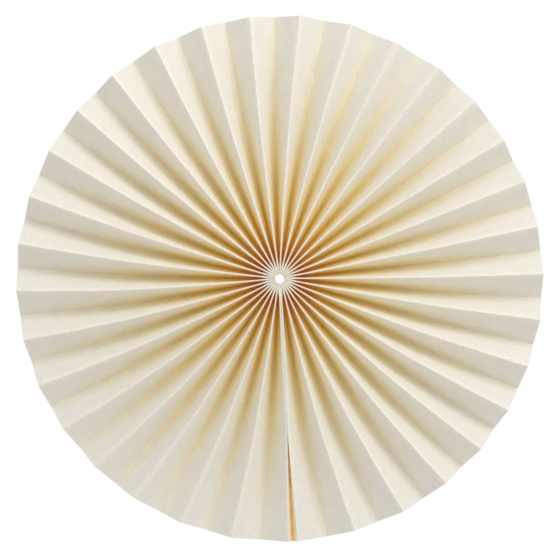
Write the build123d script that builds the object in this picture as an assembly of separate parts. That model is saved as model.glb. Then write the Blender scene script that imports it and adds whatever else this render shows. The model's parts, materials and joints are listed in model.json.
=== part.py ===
from build123d import *
import math
import os

# Paper fan rosette: one accordion-folded strip closed into a full circle.
# Millimetres and degrees. The fan hangs upright: +Z is up, its front faces -Y,
# its back folds lie in the plane Y = 0, and the hub hole runs along Y through the origin.
# Angles round the fan are read clockwise from +Z, as seen from the front.

# Strip of paper
fan_radius = 150.0          # hub axis to the cut edge at the rim
panel_width = 20.0          # one fold to the next, across a flat panel
paper = 0.22                # thickness of the paper
rim_lean = 45.5             # mean angle between a panel and the fan's axis at the rim
fold_radius = 0.45          # bend at the middle of the paper, where a fold is free to open
crease_gap = 0.01           # half the air left inside a fold that is pressed flat
packed_gap = 0.01           # air between neighbouring folds where they are pressed together
hole_trim = 0.05            # paper that the hub hole takes off the inner edge

# How unevenly the pleats open, as shares of the mean pleat
side_sway = 0.018           # wider on one side than on the other
cross_swell = 0.029         # wider at top and bottom than at the sides
seam_spread = 0.152         # wider beside the seam

# Seam: a glue flap behind the last front fold at each end, and tape on both flaps
seam_angle = 177.1          # just right of the lowest point
seam_opening = 3.6          # between the two seam folds at the rim
seam_open_radius = 88.0     # where the seam folds begin to part
flap_width = 11.0           # front fold to the flap's free edge
stuck_width = 6.0           # free edge to the line where parted flaps meet
tape = 0.08                 # thickness of the tape on one flap
tape_setback = 1.5          # front fold to the tape's front edge
tape_inner_radius = 12.0

# Thread that ties the hub
thread_radius = 0.25
thread_hole_radius = 0.5
thread_hole_inset = 1.8     # hub hole to the centres of the punched holes
thread_setback = 7.0        # front folds to the centres of the punched holes
thread_clearance = 0.05     # thread to the side of the hole that it pulls on
knot_clearance = 0.08       # knot to the edge of the hole that it fills

forward = Vector(0, -1, 0)
half_paper = paper / 2
thread_depth = panel_width - thread_setback
knot_radius = thread_hole_radius - knot_clearance
flap_offset = tape + half_paper         # middle of a flap to the seam's mid-plane
half_pleat = 0.5                        # a pleat's middle, where its back fold is

# The pleats open to the rim lean at the rim, which sets how many there are.
valley_count = round(math.pi * fan_radius / (panel_width * math.sin(math.radians(rim_lean))))
panel_count = 2 * valley_count + 2      # the flaps count as panels at the hub


def packed_pitch(radius):
    """Panel to panel on a circle where all the panels and the tape are pressed together."""
    return (2 * math.pi * radius - 2 * tape + packed_gap) / panel_count


def packed_radius(fold):
    """Circle on which pressed folds with this bend just touch their neighbours."""
    pitch = fold + half_paper + packed_gap / 2
    return (panel_count * pitch + 2 * tape - packed_gap) / (2 * math.pi)


# The paper starts where it packs solid, and stops touching where the folds reach full size.
start_radius = packed_radius(half_paper + crease_gap)
ring_radius = packed_radius(fold_radius)
hole_radius = start_radius + hole_trim
hole_overrun = panel_width              # the cut for the hub hole passes both ends by this
thread_hole_ring = hole_radius + thread_hole_inset


def outward(angle):
    return Vector(math.sin(math.radians(angle)), 0, math.cos(math.radians(angle)))


def sideways(angle):
    """Clockwise, square to the outward direction."""
    return Vector(math.cos(math.radians(angle)), 0, -math.sin(math.radians(angle)))


def opening_shares():
    """Share of the circle that each pleat takes at the rim."""
    shares = []
    for pleat in range(valley_count):
        turn = 2 * math.pi * (pleat + half_pleat) / valley_count
        from_seam = min(pleat, valley_count - 1 - pleat)
        share = 1 + side_sway * math.sin(turn) + cross_swell * math.cos(2 * turn)
        shares.append(share + seam_spread * math.exp(-from_seam))
    return [share / sum(shares) for share in shares]


class Station:
    """The section through every fold at one distance from the hub axis."""

    def __init__(self, radius):
        self.radius = radius
        self.fold = min(fold_radius, packed_pitch(radius) - half_paper - packed_gap / 2)
        closed = flap_offset + self.fold
        parted = max(0.0, (radius - seam_open_radius) / (fan_radius - seam_open_radius))
        self.seam_offset = closed + parted * (seam_opening / 2 - closed)
        self.angles = self.fold_angles()
        self.last = len(self.angles) - 1
        self.flap_edge = self.depth(0) - flap_width

    def fold_angles(self):
        """Angle of every fold, front and back in turn, from one seam fold to the other."""
        opened = max(0.0, (self.radius - ring_radius) / (fan_radius - ring_radius))
        first = math.degrees(self.seam_offset / self.radius)
        angles = [seam_angle + first]
        for share in opening_shares():
            pleat = (360 - 2 * first) * (opened * share + (1 - opened) / valley_count)
            angles.append(angles[-1] + pleat / 2)
            angles.append(angles[-1] + pleat / 2)
        return angles

    def depth(self, index):
        """Front fold to the back plane, from the panel width and how far the pleat is open."""
        before = self.angles[index] - self.angles[index - 1] if index > 0 else 0
        after = self.angles[index + 1] - self.angles[index] if index < self.last else 0
        swing = (before + after) / 2 if before and after else before + after
        return math.sqrt(panel_width**2 - (math.radians(swing) * self.radius) ** 2)

    def fold_centre(self, index):
        """Point on the axis of the fold's bend: even folds are in front, odd ones behind."""
        clear = half_paper + self.fold
        height = self.depth(index) - clear if index % 2 == 0 else clear
        return outward(self.angles[index]) * self.radius + forward * height

    def lean(self, index):
        """Angle between the fan's axis and the panel that follows this fold."""
        step = self.fold_centre(index + 1) - self.fold_centre(index)
        along = abs(step.dot(forward))
        across = math.sqrt(step.length**2 - along**2)
        return math.atan2(across, along) - math.asin(2 * self.fold / step.length)

    def flap_lean(self):
        """Angle between the fan's axis and the front stretch of a flap."""
        across = self.seam_offset - flap_offset
        along = flap_width - stuck_width - half_paper - self.fold
        return math.atan2(across, along) - math.asin(self.fold / math.hypot(across, along))

    def bend(self, index, side):
        """Fold arc on one face of the paper: side is 1 for the front face, -1 for the back."""
        front = 1 if index % 2 == 0 else -1
        radius = self.fold + side * front * half_paper
        centre = self.fold_centre(index)
        lean_in = self.lean(index - 1) if index > 0 else self.flap_lean()
        lean_out = self.lean(index) if index < self.last else self.flap_lean()
        ends = []
        for way, lean in ((-1, lean_in), (1, lean_out)):
            across = sideways(self.angles[index]) * (way * math.cos(lean))
            ends.append(centre + (across + forward * (front * math.sin(lean))) * radius)
        return Edge.make_three_point_arc(ends[0], centre + forward * (front * radius), ends[1])

    def flap_foot(self, way, side):
        """Free edge and bend of a flap's face. way is 1 clockwise of the seam, -1 before it."""
        sheet = flap_offset - side * half_paper
        foot = outward(seam_angle) * self.radius + sideways(seam_angle) * (way * sheet)
        edge = foot + forward * self.flap_edge
        return edge, edge + forward * stuck_width

    def skin(self, side):
        """The section's line on one face of the paper, from free edge to free edge."""
        edge, at = self.flap_foot(1, side)
        lines = [Edge.make_line(edge, at)]
        for index in range(self.last + 1):
            arc = self.bend(index, side)
            lines += [Edge.make_line(at, arc @ 0), arc]
            at = arc @ 1
        edge, bend = self.flap_foot(-1, side)
        return lines + [Edge.make_line(at, bend), Edge.make_line(bend, edge)]

    def tape_face(self, way, side):
        """The tape's line on a flap: side is 1 against the paper, 0 on the open face."""
        edge, bend = self.flap_foot(way, 1)
        arc = self.bend(0, 1) if way > 0 else self.bend(self.last, 1)
        fold = arc @ 0 if way > 0 else arc @ 1
        front = bend + (fold - bend) * (1 - tape_setback / (flap_width - stuck_width))
        shift = sideways(seam_angle) * (way * tape * (1 - side))
        return [
            Edge.make_line(edge - shift, bend - shift),
            Edge.make_line(bend - shift, front - shift),
        ]


def sheet_solid(fronts, backs):
    """A sheet from its section lines on both faces, station by station, sewn shut."""
    faces = []
    for skins in (fronts, backs):
        for inner, outer in zip(skins, skins[1:]):
            faces += [Face.make_surface_from_curves(a, b) for a, b in zip(inner, outer)]
    for cut in (0, -1):
        faces += [Face.make_surface_from_curves(a, b) for a, b in zip(fronts[cut], backs[cut])]
    for edge, end in ((0, 0), (-1, 1)):
        walls = [
            Edge.make_line(front[edge] @ end, back[edge] @ end)
            for front, back in zip(fronts, backs)
        ]
        faces += [Face.make_surface_from_curves(a, b) for a, b in zip(walls, walls[1:])]
    return Solid(Shell(Face.sew_faces(faces)[0]))


def pleated_paper(stations):
    """The folded strip with its hub hole and a punched hole for the thread in every panel."""
    strip = sheet_solid([s.skin(1) for s in stations], [s.skin(-1) for s in stations])
    hole_plane = Plane(origin=forward * -hole_overrun, z_dir=forward)
    hub_hole = Solid.make_cylinder(hole_radius, panel_width + 2 * hole_overrun, hole_plane)
    thread_plane = Plane(origin=forward * thread_depth, z_dir=forward)
    thread_holes = Solid.make_torus(thread_hole_ring, thread_hole_radius, thread_plane)
    return strip - hub_hole - thread_holes


def seam_tape(stations, way):
    return sheet_solid(
        [s.tape_face(way, 1) for s in stations], [s.tape_face(way, 0) for s in stations]
    )


def tie_thread():
    """The thread drawn tight against the inner side of its holes, knotted at the seam."""
    drawn_radius = thread_hole_ring - (thread_hole_radius - thread_radius - thread_clearance)
    hidden = math.degrees(knot_radius / drawn_radius) / 2
    start = outward(seam_angle - hidden)
    centre = forward * thread_depth
    plane = Plane(origin=centre, x_dir=start, z_dir=forward)
    loop = Solid.make_torus(
        drawn_radius, thread_radius, plane, major_angle=360 - 2 * hidden
    )
    across = outward(seam_angle)
    knot_plane = Plane(origin=centre + across * thread_hole_ring, x_dir=across, z_dir=forward)
    return loop + Solid.make_sphere(knot_radius, knot_plane)


def build():
    os.makedirs("parts", exist_ok=True)
    radii = [start_radius, ring_radius, tape_inner_radius, seam_open_radius, fan_radius]
    stations = [Station(radius) for radius in radii]
    taped = [station for station in stations if station.radius >= tape_inner_radius]
    parts = {
        "pleated_paper": pleated_paper(stations),
        "seam_tape_left": seam_tape(taped, 1),
        "seam_tape_right": seam_tape(taped, -1),
        "tie_thread": tie_thread(),
    }
    for name, shape in parts.items():
        export_step(shape, f"parts/{name}.step")
    print("hub hole radius", round(hole_radius, 3), "length", round(stations[0].depth(0), 2))
    print("back folds", valley_count)


build()
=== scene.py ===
import json
import math
import random

import bmesh
import bpy
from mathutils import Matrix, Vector


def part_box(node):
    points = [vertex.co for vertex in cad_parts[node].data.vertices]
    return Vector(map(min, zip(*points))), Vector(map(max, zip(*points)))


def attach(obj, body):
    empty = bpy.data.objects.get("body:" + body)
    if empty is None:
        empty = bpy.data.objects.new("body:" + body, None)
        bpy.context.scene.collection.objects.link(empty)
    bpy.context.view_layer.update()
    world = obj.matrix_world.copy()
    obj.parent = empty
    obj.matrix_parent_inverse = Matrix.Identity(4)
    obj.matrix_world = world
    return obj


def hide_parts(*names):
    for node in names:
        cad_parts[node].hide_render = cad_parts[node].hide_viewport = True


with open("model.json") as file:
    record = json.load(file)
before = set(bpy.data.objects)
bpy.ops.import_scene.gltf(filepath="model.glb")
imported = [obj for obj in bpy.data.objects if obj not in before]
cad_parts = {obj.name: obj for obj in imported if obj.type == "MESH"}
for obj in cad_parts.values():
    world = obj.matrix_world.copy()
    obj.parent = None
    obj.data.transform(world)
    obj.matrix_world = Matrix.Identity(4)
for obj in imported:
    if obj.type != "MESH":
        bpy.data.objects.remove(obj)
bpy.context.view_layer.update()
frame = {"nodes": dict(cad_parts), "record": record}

# Paper fan rosette: one pleated strip closed into a circle, tape in its seam, a thread at its hub.
# The strip is worked out in millimetres. Angles are read clockwise from the top, seen from the front.

MM = 0.001
paper_low, paper_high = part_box("pleated_paper")
hub_mount = next(m for m in frame["record"]["mounts"] if m["name"] == "hub_hole")

# Strip
FAN_RADIUS = max(paper_high) / MM
PANEL_WIDTH = -paper_low[1] / MM
HUB_RADIUS = hub_mount["dims"]["r_mm"]
PAPER = 0.22                # thickness
FOLD_RADIUS = 0.45          # where the folds press together at the hub
CRISP_FOLD = 0.28           # where they have opened
CRISP_REACH = 6.0           # ring of pressed folds to where they are fully crisp
PACKED_GAP = 0.01           # air between pressed folds
BACK_FOLDS = 33
FOLDS = 2 * BACK_FOLDS + 1
PANELS = FOLDS + 1          # the two flaps count as panels at the hub

# How unevenly the pleats open, as shares of the mean pleat
SIDE_SWAY = 0.018           # wider on one side than on the other
CROSS_SWELL = 0.029         # wider at top and bottom than at the sides
SEAM_SPREAD = 0.152         # wider beside the seam

# Seam
SEAM_ANGLE = 177.1
SEAM_OPENING = 5.4          # between the two seam folds at the rim
SEAM_OPEN_RADIUS = 88.0     # where they begin to part
FLAP_WIDTH = 11.0           # front fold to the flap's free edge
STUCK_WIDTH = 6.0           # free edge to the line where parted flaps meet
TAPE = 0.08                 # room for the tape on one flap
TAPE_SETBACK = 1.5          # front fold to the tape's front edge
TAPE_INNER_RADIUS = 12.0
TAPE_PARTING = 0.02         # open face of each strip to the seam's mid-plane

# Hand work: folds that wander a little, a hub pressed unevenly, panels not quite flat
HAND_SEED = 7
FOLD_WANDER = 0.22          # degrees round the fan, at the rim
RIM_WANDER = 0.25           # in or out, at the rim
HUB_PRESS = 0.9             # front folds pushed back, at the hub
HUB_PRESS_REACH = 3.5       # how fast that fades outwards
PANEL_BOW = 0.22            # out of flat, in the middle of a panel at the rim

# Light that soaks through the crests tints them as this much depth would
CREST_WARMTH = 2.0
TIGHT_PITCH = 2.6

# Mesh steps
ROWS = 60
ROW_CROWDING = 1.5          # over 1 sets the rows closer together at the hub
ARC_STEPS = 4
FLAT_STEPS = 4
FLAP_STEPS = 2
GRID_HALF = 0.5
CREASE_ANGLE = 50           # degrees; sharper edges than this stay crisp

FORWARD = Vector((0, -1, 0))
HALF_PAPER = PAPER / 2
FLAP_OFFSET = TAPE + HALF_PAPER
TAPE_SHOWN = TAPE - TAPE_PARTING
SEAM_FOLDS = (0, 2 * BACK_FOLDS)
HALF_PLEAT = 0.5


def outward(angle):
    return Vector((math.sin(math.radians(angle)), 0, math.cos(math.radians(angle))))


def sideways(angle):
    """Clockwise, square to the outward direction."""
    return Vector((math.cos(math.radians(angle)), 0, -math.sin(math.radians(angle))))


def mean_pitch(radius):
    """One front fold to the next."""
    return 2 * math.pi * radius / BACK_FOLDS


def packed_pitch(radius):
    """Panel to panel where all the panels and the tape are pressed together."""
    return (2 * math.pi * radius - 2 * TAPE + PACKED_GAP) / PANELS


RING_RADIUS = (PANELS * (FOLD_RADIUS + HALF_PAPER + PACKED_GAP / 2) + 2 * TAPE) / (2 * math.pi)


def opening_shares():
    """Share of the circle that each pleat takes at the rim."""
    shares = []
    for pleat in range(BACK_FOLDS):
        turn = 2 * math.pi * (pleat + HALF_PLEAT) / BACK_FOLDS
        from_seam = min(pleat, BACK_FOLDS - 1 - pleat)
        share = 1 + SIDE_SWAY * math.sin(turn) + CROSS_SWELL * math.cos(2 * turn)
        shares.append(share + SEAM_SPREAD * math.exp(-from_seam))
    return [share / sum(shares) for share in shares]


def hand_work():
    """For every fold: how far it wanders round, out at the rim, down at the hub, and its bow."""
    draw = random.Random(HAND_SEED)
    work = []
    for index in range(FOLDS):
        at_seam = index in SEAM_FOLDS
        work.append({
            "round": 0 if at_seam else draw.uniform(-FOLD_WANDER, FOLD_WANDER),
            "out": 0 if at_seam else draw.uniform(-RIM_WANDER, RIM_WANDER),
            "down": draw.uniform(0, HUB_PRESS),
            "bow": draw.uniform(-PANEL_BOW, PANEL_BOW),
        })
    return work


SHARES = opening_shares()
HAND = hand_work()


class Row:
    """The front face of the folded strip, cut across at one distance from the hub."""

    def __init__(self, radius):
        self.radius = radius
        packed = min(FOLD_RADIUS, packed_pitch(radius) - HALF_PAPER - PACKED_GAP / 2)
        past_ring = max(0.0, radius - RING_RADIUS) / CRISP_REACH
        self.fold = packed + (CRISP_FOLD - FOLD_RADIUS) * min(1.0, past_ring)
        closed = FLAP_OFFSET + self.fold
        parted = max(0.0, (radius - SEAM_OPEN_RADIUS) / (FAN_RADIUS - SEAM_OPEN_RADIUS))
        self.seam_offset = closed + parted * (SEAM_OPENING / 2 - closed)
        self.opened = max(0.0, (radius - RING_RADIUS) / (FAN_RADIUS - RING_RADIUS))
        self.angles = self.fold_angles()
        self.last = len(self.angles) - 1
        self.pitch = mean_pitch(radius)

    def fold_angles(self):
        first = math.degrees(self.seam_offset / self.radius)
        angles = [SEAM_ANGLE + first]
        for share in SHARES:
            pleat = (360 - 2 * first) * (self.opened * share + (1 - self.opened) / BACK_FOLDS)
            angles.append(angles[-1] + pleat / 2)
            angles.append(angles[-1] + pleat / 2)
        return [angle + self.opened * work["round"] for angle, work in zip(angles, HAND)]

    def depth(self, index):
        """Front fold to the back plane."""
        before = self.angles[index] - self.angles[index - 1] if index > 0 else 0
        after = self.angles[index + 1] - self.angles[index] if index < self.last else 0
        swing = (before + after) / 2 if before and after else before + after
        return math.sqrt(PANEL_WIDTH**2 - (math.radians(swing) * self.radius) ** 2)

    def crest(self):
        """Mean height of the front folds."""
        heights = [self.depth(index) for index in range(0, FOLDS, 2)]
        return sum(heights) / len(heights)

    def fold_centre(self, index):
        """Point on the axis of the fold's bend: even folds are in front, odd ones behind."""
        clear = HALF_PAPER + self.fold
        pressed = HAND[index]["down"] * math.exp((HUB_RADIUS - self.radius) / HUB_PRESS_REACH)
        height = self.depth(index) - clear - pressed if index % 2 == 0 else clear
        reach = self.radius + HAND[index]["out"] * (self.radius / FAN_RADIUS) ** 2
        return outward(self.angles[index]) * reach + FORWARD * height

    def lean(self, index):
        """Angle between the fan's axis and the panel that follows this fold."""
        step = self.fold_centre(index + 1) - self.fold_centre(index)
        along = abs(step.dot(FORWARD))
        across = math.sqrt(step.length**2 - along**2)
        return math.atan2(across, along) - math.asin(2 * self.fold / step.length)

    def flap_lean(self):
        across = self.seam_offset - FLAP_OFFSET
        along = FLAP_WIDTH - STUCK_WIDTH - HALF_PAPER - self.fold
        return math.atan2(across, along) - math.asin(self.fold / math.hypot(across, along))

    def bend(self, index):
        """Points round a fold on the front face of the paper."""
        front = 1 if index % 2 == 0 else -1
        radius = self.fold + front * HALF_PAPER
        centre = self.fold_centre(index)
        lean_in = self.lean(index - 1) if index > 0 else self.flap_lean()
        lean_out = self.lean(index) if index < self.last else self.flap_lean()
        start, end = lean_in - math.pi / 2, math.pi / 2 - lean_out
        across = sideways(self.angles[index])
        points = []
        for step in range(ARC_STEPS + 1):
            turn = start + (end - start) * step / ARC_STEPS
            away = across * math.sin(turn) + FORWARD * (front * math.cos(turn))
            points.append(centre + away * radius)
        return points

    def flap_foot(self, way):
        """Free edge and bend of a flap's front face. way is 1 clockwise of the seam, -1 before it."""
        foot = outward(SEAM_ANGLE) * self.radius + sideways(SEAM_ANGLE) * (way * TAPE)
        edge = foot + FORWARD * (self.depth(0) - FLAP_WIDTH)
        return edge, edge + FORWARD * STUCK_WIDTH

    def line(self):
        """Points along the strip from one free edge to the other, each with its share of a fold."""
        edge, at = self.flap_foot(1)
        points = run(edge, at, FLAP_STEPS)
        for index in range(self.last + 1):
            arc = self.bend(index)
            bow = Vector() if index == 0 else sideways(self.angles[index]) * HAND[index]["bow"]
            points += run(at, arc[0], FLAT_STEPS, bow * self.opened)
            points += [(point, 1.0) for point in arc[:-1]]
            at = arc[-1]
        edge, bend = self.flap_foot(-1)
        return points + run(at, bend, FLAT_STEPS) + run(bend, edge, FLAP_STEPS) + [(edge, 0.0)]

    def tape_line(self, way):
        """The tape's open face on a flap, from its free edge to its front edge."""
        edge, bend = self.flap_foot(way)
        fold = self.bend(0)[0] if way > 0 else self.bend(self.last)[-1]
        front = bend + (fold - bend) * (1 - TAPE_SETBACK / (FLAP_WIDTH - STUCK_WIDTH))
        shift = sideways(SEAM_ANGLE) * (way * TAPE_SHOWN)
        points = run(edge, bend, FLAP_STEPS) + run(bend, front, FLAT_STEPS) + [(front, 0.0)]
        return [(point - shift, fold_share) for point, fold_share in points]


def run(start, end, steps, bow=None):
    """Even steps along a flat stretch, its end left out, bowed a little in the middle."""
    points = []
    for step in range(steps):
        share = step / steps
        point = start.lerp(end, share)
        if bow is not None:
            point = point + bow * math.sin(math.pi * share)
        points.append((point, 1.0 if step == 0 else 0.0))
    return points


def row_radii(inner):
    return [
        inner + (FAN_RADIUS - inner) * (step / (ROWS - 1)) ** ROW_CROWDING for step in range(ROWS)
    ]


def lay_sheet(lines):
    """A grid with its points moved onto the lines, and the line that each point is on."""
    columns = len(lines[0]) - 1
    rows = len(lines) - 1
    bm = bmesh.new()
    bmesh.ops.create_grid(bm, x_segments=columns, y_segments=rows, size=GRID_HALF)
    bm.verts.layers.float.new("hollow")
    fold = bm.verts.layers.float.new("fold")
    row_of = {}
    for vert in bm.verts:
        column = round((vert.co.x + GRID_HALF) * columns)
        row_of[vert] = round((vert.co.y + GRID_HALF) * rows)
        point, vert[fold] = lines[row_of[vert]][column]
        vert.co = point * MM
    bm.normal_update()
    return bm, row_of


def thicken(bm, open_side, thickness):
    """Turns the faces to the open side, then adds the thickness behind them."""
    facing = sum(face.normal.dot(open_side) * face.calc_area() for face in bm.faces)
    if facing < 0:
        bmesh.ops.reverse_faces(bm, faces=bm.faces[:])
    bmesh.ops.solidify(bm, geom=bm.faces[:], thickness=thickness * MM)


def finish_piece(name, bm, material):
    mesh = bpy.data.meshes.new(name)
    bm.to_mesh(mesh)
    bm.free()
    mesh.shade_smooth()
    mesh.set_sharp_from_angle(angle=math.radians(CREASE_ANGLE))
    mesh.materials.append(material)
    piece = bpy.data.objects.new(name, mesh)
    bpy.context.scene.collection.objects.link(piece)
    return piece


def pleated_sheet(material):
    """The paper, with each point's share of the way into a pleat as its hollow."""
    rows = [Row(radius) for radius in row_radii(HUB_RADIUS)]
    bm, row_of = lay_sheet([row.line() for row in rows])
    hollow = bm.verts.layers.float["hollow"]
    crests = [row.crest() for row in rows]
    # the hollow set here drives the painted warm glow of bounced light in the paper's colour
    for vert, place in row_of.items():
        pitch = rows[place].pitch
        warmth = CREST_WARMTH * min(1.0, (pitch / TIGHT_PITCH) ** 2)
        vert[hollow] = (max(0.0, crests[place] + vert.co.y / MM) + warmth) / pitch
    front = set(bm.verts)
    thicken(bm, FORWARD, PAPER)
    for vert in bm.verts:
        if vert not in front:
            radius = math.hypot(vert.co.x, vert.co.z) / MM
            vert[hollow] = max(0.0, -vert.co.y / MM) / mean_pitch(radius)
    return finish_piece("paper_strip", bm, material)


def tape_strip(name, way, material):
    rows = [Row(radius) for radius in row_radii(TAPE_INNER_RADIUS)]
    bm, _ = lay_sheet([row.tape_line(way) for row in rows])
    thicken(bm, sideways(SEAM_ANGLE) * -way, TAPE_SHOWN)
    return finish_piece(name, bm, material)


# Materials

def linear(hex_colour):
    """sRGB hex to the linear colour the shader works in."""
    values = [int(hex_colour[i:i + 2], 16) / 255 for i in (1, 3, 5)]
    return [v / 12.92 if v <= 0.04045 else ((v + 0.055) / 1.055) ** 2.4 for v in values] + [1.0]


def per_metre(size_mm):
    """Texture scale for a pattern whose features are this many millimetres apart."""
    return 1 / (size_mm * MM)


def add(tree, kind, inputs=None, **settings):
    """Adds a node with its settings; an input is a value or the socket that feeds it."""
    node = tree.nodes.new(kind)
    for setting, value in settings.items():
        setattr(node, setting, value)
    for socket, value in (inputs or {}).items():
        if isinstance(value, bpy.types.NodeSocket):
            tree.links.new(value, node.inputs[socket])
        else:
            node.inputs[socket].default_value = value
    return node


def new_material(name):
    material = bpy.data.materials.new(name)
    material.use_nodes = True
    tree = material.node_tree
    tree.nodes.clear()
    return material, tree


def set_stops(ramp_node, stops):
    ramp = ramp_node.color_ramp
    while len(ramp.elements) > 1:
        ramp.elements.remove(ramp.elements[-1])
    ramp.elements[0].position = stops[0][0]
    ramp.elements[0].color = linear(stops[0][1])
    for position, colour in stops[1:]:
        ramp.elements.new(position).color = linear(colour)


# Pattern sizes in millimetres
PAPER_CLOUD = 9.0           # uneven density seen in a sheet of paper
PAPER_BLOTCH = 2.2
PAPER_FIBRE = 0.7           # fibres are finer, and are drawn this coarse so that they show
TAPE_RIPPLE = 4.0
TAPE_SPECK = 1.6
PLY_TURN = 0.6              # one turn of the thread's twist
THREAD_FUZZ = 0.15
FLOOR_MOTTLE = 400.0
WAVE_RATE = 20              # a wave texture's bands for each unit of scale

# Painted warm glow of light bouncing between the panels: colour by depth into a pleat, as a share of the
# pleat's width
HOLLOW_SPAN = 8.0
HOLLOW_GLOW_STOPS = [
    (0.0, "#ECE9E3"), (0.3, "#EFECE4"), (0.6, "#F5F1E5"), (0.9, "#FBF5E0"), (1.3, "#FFF7DA"),
    (1.8, "#FFF6D0"), (2.5, "#FFF4C2"), (3.5, "#FFEFB0"), (5.0, "#FFE69A"), (7.5, "#FFD884"),
]


def cream_paper():
    """Uncoated cream cover paper: dull, faintly fibrous, with a painted warm glow of bounced light that
    turns it more golden the deeper the pleat.
    """
    material, tree = new_material("uncoated_cream_paper")
    place = add(tree, "ShaderNodeTexCoord").outputs["Object"]
    hollow = add(tree, "ShaderNodeAttribute", attribute_name="hollow").outputs["Fac"]
    fold = add(tree, "ShaderNodeAttribute", attribute_name="fold").outputs["Fac"]
    cloud = add(tree, "ShaderNodeTexNoise", {
        "Vector": place, "Scale": per_metre(PAPER_CLOUD), "Detail": 4.0})
    blotch = add(tree, "ShaderNodeTexNoise", {
        "Vector": place, "Scale": per_metre(PAPER_BLOTCH), "Detail": 3.0})
    fibre = add(tree, "ShaderNodeTexNoise", {
        "Vector": place, "Scale": per_metre(PAPER_FIBRE),
        "Detail": 6.0, "Roughness": 0.65, "Distortion": 1.5})
    uneven = add(tree, "ShaderNodeMapRange", {
        "Value": cloud.outputs["Fac"], "From Min": 0.3, "From Max": 0.7, "To Min": 0.85, "To Max": 1.15})
    depth = add(tree, "ShaderNodeMath", {0: hollow, 1: uneven.outputs["Result"]}, operation="MULTIPLY")
    share = add(tree, "ShaderNodeMath", {0: depth.outputs[0], 1: HOLLOW_SPAN}, operation="DIVIDE")
    # painted glow of light bouncing in the pleats: the paper's colour turns golden with depth into each
    # pleat
    tint = add(tree, "ShaderNodeValToRGB", {"Fac": share.outputs[0]})
    set_stops(tint, [(depth_at / HOLLOW_SPAN, colour) for depth_at, colour in HOLLOW_GLOW_STOPS])
    # painted highlight: the fold crests that stand out of the pleats are lightened towards #FFF7E6 in
    # blotches, where they catch the light
    blotchy_fold_highlight = add(tree, "ShaderNodeMath", {0: fold, 1: blotch.outputs["Fac"]}, operation="MULTIPLY")
    shallow = add(tree, "ShaderNodeMapRange", {
        "Value": hollow, "From Min": 0.1, "From Max": 0.5, "To Min": 0.9, "To Max": 0.0})
    painted_crest_highlight = add(tree, "ShaderNodeMath", {0: blotchy_fold_highlight.outputs[0], 1: shallow.outputs["Result"]},
               operation="MULTIPLY")
    folded = add(tree, "ShaderNodeMix", {
        "Factor": painted_crest_highlight.outputs[0], "A": tint.outputs["Color"], "B": linear("#FFF7E6")}, data_type="RGBA")
    flecks = add(tree, "ShaderNodeMapRange", {
        "Value": fibre.outputs["Fac"], "From Min": 0.3, "From Max": 0.7, "To Min": 0.94, "To Max": 1.04})
    clouds = add(tree, "ShaderNodeMapRange", {
        "Value": blotch.outputs["Fac"], "From Min": 0.3, "From Max": 0.7,
        "To Min": 0.975, "To Max": 1.02})
    value = add(tree, "ShaderNodeMath", {0: flecks.outputs["Result"], 1: clouds.outputs["Result"]},
                operation="MULTIPLY")
    colour = add(tree, "ShaderNodeHueSaturation", {
        "Color": folded.outputs["Result"], "Value": value.outputs[0]})
    roughness = add(tree, "ShaderNodeMapRange", {
        "Value": fibre.outputs["Fac"], "From Min": 0.3, "From Max": 0.7, "To Min": 0.7, "To Max": 0.88})
    tooth = add(tree, "ShaderNodeBump", {
        "Height": fibre.outputs["Fac"], "Strength": 0.35, "Distance": 0.06 * MM})
    cockle = add(tree, "ShaderNodeBump", {
        "Height": cloud.outputs["Fac"], "Strength": 0.5, "Distance": 0.5 * MM,
        "Normal": tooth.outputs["Normal"]})
    sheen = add(tree, "ShaderNodeBsdfPrincipled", {
        "Base Color": colour.outputs["Color"], "Roughness": roughness.outputs["Result"],
        "IOR": 1.45, "Specular IOR Level": 0.3, "Normal": cockle.outputs["Normal"]})
    through = add(tree, "ShaderNodeBsdfTranslucent", {"Color": colour.outputs["Color"]})
    thinness = add(tree, "ShaderNodeMapRange", {
        "Value": hollow, "From Min": 0.4, "From Max": 1.8, "To Min": 0.08, "To Max": 0.55})
    shader = add(tree, "ShaderNodeMixShader", {
        0: thinness.outputs["Result"], 1: sheen.outputs[0], 2: through.outputs[0]})
    add(tree, "ShaderNodeOutputMaterial", {"Surface": shader.outputs[0]})
    return material


def golden_tape():
    """Double-sided tape gone yellow: a waxy film with trapped dust and small bubbles."""
    material, tree = new_material("yellowed_double_sided_tape")
    place = add(tree, "ShaderNodeTexCoord").outputs["Object"]
    wave = add(tree, "ShaderNodeTexNoise", {
        "Vector": place, "Scale": per_metre(TAPE_RIPPLE), "Detail": 4.0})
    specks = add(tree, "ShaderNodeTexVoronoi", {"Vector": place, "Scale": per_metre(TAPE_SPECK)})
    tint = add(tree, "ShaderNodeValToRGB", {"Fac": wave.outputs["Fac"]})
    set_stops(tint, [(0.3, "#F6DC9C"), (0.5, "#FBE6B0"), (0.7, "#FEF0C6")])
    speck = add(tree, "ShaderNodeMapRange", {
        "Value": specks.outputs["Distance"], "From Min": 0.12, "From Max": 0.2,
        "To Min": 0.6, "To Max": 0.0})
    colour = add(tree, "ShaderNodeMix", {
        "Factor": speck.outputs["Result"], "A": tint.outputs["Color"], "B": linear("#6E4A1E")},
        data_type="RGBA")
    roughness = add(tree, "ShaderNodeMapRange", {
        "Value": wave.outputs["Fac"], "From Min": 0.3, "From Max": 0.7, "To Min": 0.3, "To Max": 0.5})
    bubbles = add(tree, "ShaderNodeBump", {
        "Height": specks.outputs["Distance"], "Strength": 0.4, "Distance": 0.05 * MM})
    shader = add(tree, "ShaderNodeBsdfPrincipled", {
        "Base Color": colour.outputs["Result"], "Roughness": roughness.outputs["Result"],
        "IOR": 1.48, "Normal": bubbles.outputs["Normal"]})
    add(tree, "ShaderNodeOutputMaterial", {"Surface": shader.outputs["BSDF"]})
    return material


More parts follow.
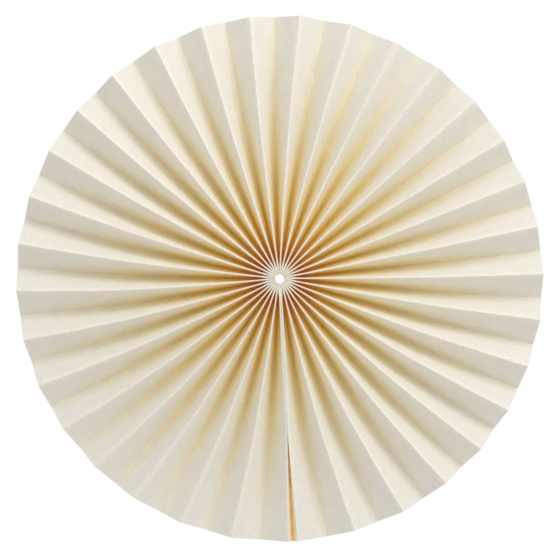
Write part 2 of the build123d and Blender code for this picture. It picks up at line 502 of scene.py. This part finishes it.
def cotton_thread():
    """Natural cotton sewing thread: matt, twisted plies, a little fuzz."""
    material, tree = new_material("natural_cotton_thread")
    place = add(tree, "ShaderNodeTexCoord").outputs["Object"]
    plies = add(tree, "ShaderNodeTexWave", {
        "Vector": place, "Scale": per_metre(PLY_TURN) / WAVE_RATE, "Distortion": 2.0, "Detail": 2.0},
        bands_direction="DIAGONAL")
    fuzz = add(tree, "ShaderNodeTexNoise", {
        "Vector": place, "Scale": per_metre(THREAD_FUZZ), "Detail": 3.0})
    colour = add(tree, "ShaderNodeMix", {
        "Factor": plies.outputs["Fac"], "A": linear("#CDB994"), "B": linear("#EDE0C4")},
        data_type="RGBA")
    bump = add(tree, "ShaderNodeBump", {
        "Height": fuzz.outputs["Fac"], "Strength": 0.6, "Distance": 0.05 * MM})
    shader = add(tree, "ShaderNodeBsdfPrincipled", {
        "Base Color": colour.outputs["Result"], "Roughness": 0.9, "Sheen Weight": 0.3,
        "Normal": bump.outputs["Normal"]})
    add(tree, "ShaderNodeOutputMaterial", {"Surface": shader.outputs["BSDF"]})
    return material


def pale_floor():
    """Plain painted studio floor, running out into the white ground far from the fan."""
    material, tree = new_material("pale_painted_floor")
    place = add(tree, "ShaderNodeTexCoord").outputs["Object"]
    grain = add(tree, "ShaderNodeTexNoise", {
        "Vector": place, "Scale": per_metre(FLOOR_MOTTLE), "Detail": 3.0})
    colour = add(tree, "ShaderNodeMix", {
        "Factor": grain.outputs["Fac"], "A": linear("#F1F0EE"), "B": linear("#F6F5F3")},
        data_type="RGBA")
    paint = add(tree, "ShaderNodeBsdfPrincipled", {
        "Base Color": colour.outputs["Result"], "Roughness": 0.8})
    white = add(tree, "ShaderNodeEmission", {"Color": linear("#FFFFFF"), "Strength": 1.0})
    reach = add(tree, "ShaderNodeVectorMath", {0: place}, operation="LENGTH")
    away = add(tree, "ShaderNodeMapRange", {
        "Value": reach.outputs["Value"], "From Min": FLOOR_FADE[0], "From Max": FLOOR_FADE[1]})
    path = add(tree, "ShaderNodeLightPath")
    seen = add(tree, "ShaderNodeMath", {
        0: away.outputs["Result"], 1: path.outputs["Is Camera Ray"]}, operation="MULTIPLY")
    shader = add(tree, "ShaderNodeMixShader", {
        0: seen.outputs[0], 1: paint.outputs[0], 2: white.outputs[0]})
    add(tree, "ShaderNodeOutputMaterial", {"Surface": shader.outputs[0]})
    return material


# Pieces

paper_strip = pleated_sheet(cream_paper())
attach(paper_strip, "root")
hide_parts("pleated_paper")

tape_finish = golden_tape()
for side, way in (("left", 1), ("right", -1)):
    strip = tape_strip(f"tape_{side}", way, tape_finish)
    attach(strip, "root")
    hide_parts(f"seam_tape_{side}")

thread_finish = cotton_thread()
for material_slot in frame["nodes"]["tie_thread"].material_slots:
    material_slot.material = thread_finish


# Studio

DEEP_PLEAT_BOUNCES = 12      # light turns this often between two panels before it comes out
HANG_HEIGHT = 1.3
FLOOR_HALF = 60.0
FLOOR_FADE = (3.0, 9.0)      # the paint runs out into white between these distances
CAMERA_DISTANCE = 2.05
CAMERA_LENS = 230.0
CAMERA_ASIDE = 0.0002
CAMERA_BELOW = 0.0007
CAMERA_CLIP = 100
LAMP_COLOUR = "#FFFDF8"


def floor():
    bm = bmesh.new()
    bmesh.ops.create_grid(bm, x_segments=8, y_segments=8, size=FLOOR_HALF)
    bmesh.ops.translate(bm, verts=bm.verts[:], vec=(0, 0, -HANG_HEIGHT))
    ground = finish_piece("studio_floor", bm, pale_floor())


def lamp(name, angle, reach, forward, size, power):
    """Square soft lamp at an angle round the fan, aimed at the hub."""
    data = bpy.data.lights.new(name, "AREA")
    data.shape = "SQUARE"
    data.size = size
    data.energy = power
    data.color = linear(LAMP_COLOUR)[:3]
    light = bpy.data.objects.new(name, data)
    light.location = outward(angle) * reach + FORWARD * forward
    light.rotation_euler = (-light.location).to_track_quat("-Z", "Y").to_euler()
    bpy.context.scene.collection.objects.link(light)


def studio_world(soft, white):
    """Even soft light all round, and a white ground behind the fan and in reflections."""
    world = bpy.data.worlds.new("studio")
    bpy.context.scene.world = world
    world.use_nodes = True
    tree = world.node_tree
    tree.nodes.clear()
    path = add(tree, "ShaderNodeLightPath")
    seen = add(tree, "ShaderNodeMath", {
        0: path.outputs["Is Camera Ray"], 1: path.outputs["Is Glossy Ray"]}, operation="MAXIMUM")
    seen = add(tree, "ShaderNodeMath", {
        0: seen.outputs[0], 1: path.outputs["Is Transmission Ray"]}, operation="MAXIMUM")
    seen = add(tree, "ShaderNodeMath", {
        0: seen.outputs[0], 1: path.outputs["Is Diffuse Ray"]}, operation="SUBTRACT", use_clamp=True)
    light = add(tree, "ShaderNodeBackground", {"Color": linear("#FFFFFF"), "Strength": soft})
    ground = add(tree, "ShaderNodeBackground", {"Color": linear("#FFFFFF"), "Strength": white})
    mix = add(tree, "ShaderNodeMixShader", {
        0: seen.outputs[0], 1: light.outputs[0], 2: ground.outputs[0]})
    add(tree, "ShaderNodeOutputWorld", {"Surface": mix.outputs[0]})


def camera():
    data = bpy.data.cameras.new("camera")
    data.lens = CAMERA_LENS
    data.clip_end = CAMERA_CLIP
    eye = bpy.data.objects.new("camera", data)
    eye.location = (CAMERA_ASIDE, -CAMERA_DISTANCE, -CAMERA_BELOW)
    eye.rotation_euler = (math.pi / 2, 0, 0)
    bpy.context.scene.collection.objects.link(eye)
    bpy.context.scene.camera = eye


floor()
lamp("key_lamp", angle=45, reach=1.3, forward=1.1, size=0.7, power=8.2)
lamp("back_lamp", angle=30, reach=0.6, forward=-1.4, size=1.0, power=5.0)
lamp("top_lamp", angle=5, reach=0.6, forward=0.5, size=0.3, power=0.8)
studio_world(soft=0.75, white=1.0)
camera()
bpy.context.scene.view_settings.view_transform = "Standard"
bpy.context.scene.cycles.diffuse_bounces = DEEP_PLEAT_BOUNCES
bpy.context.scene.cycles.max_bounces = 2 * DEEP_PLEAT_BOUNCES
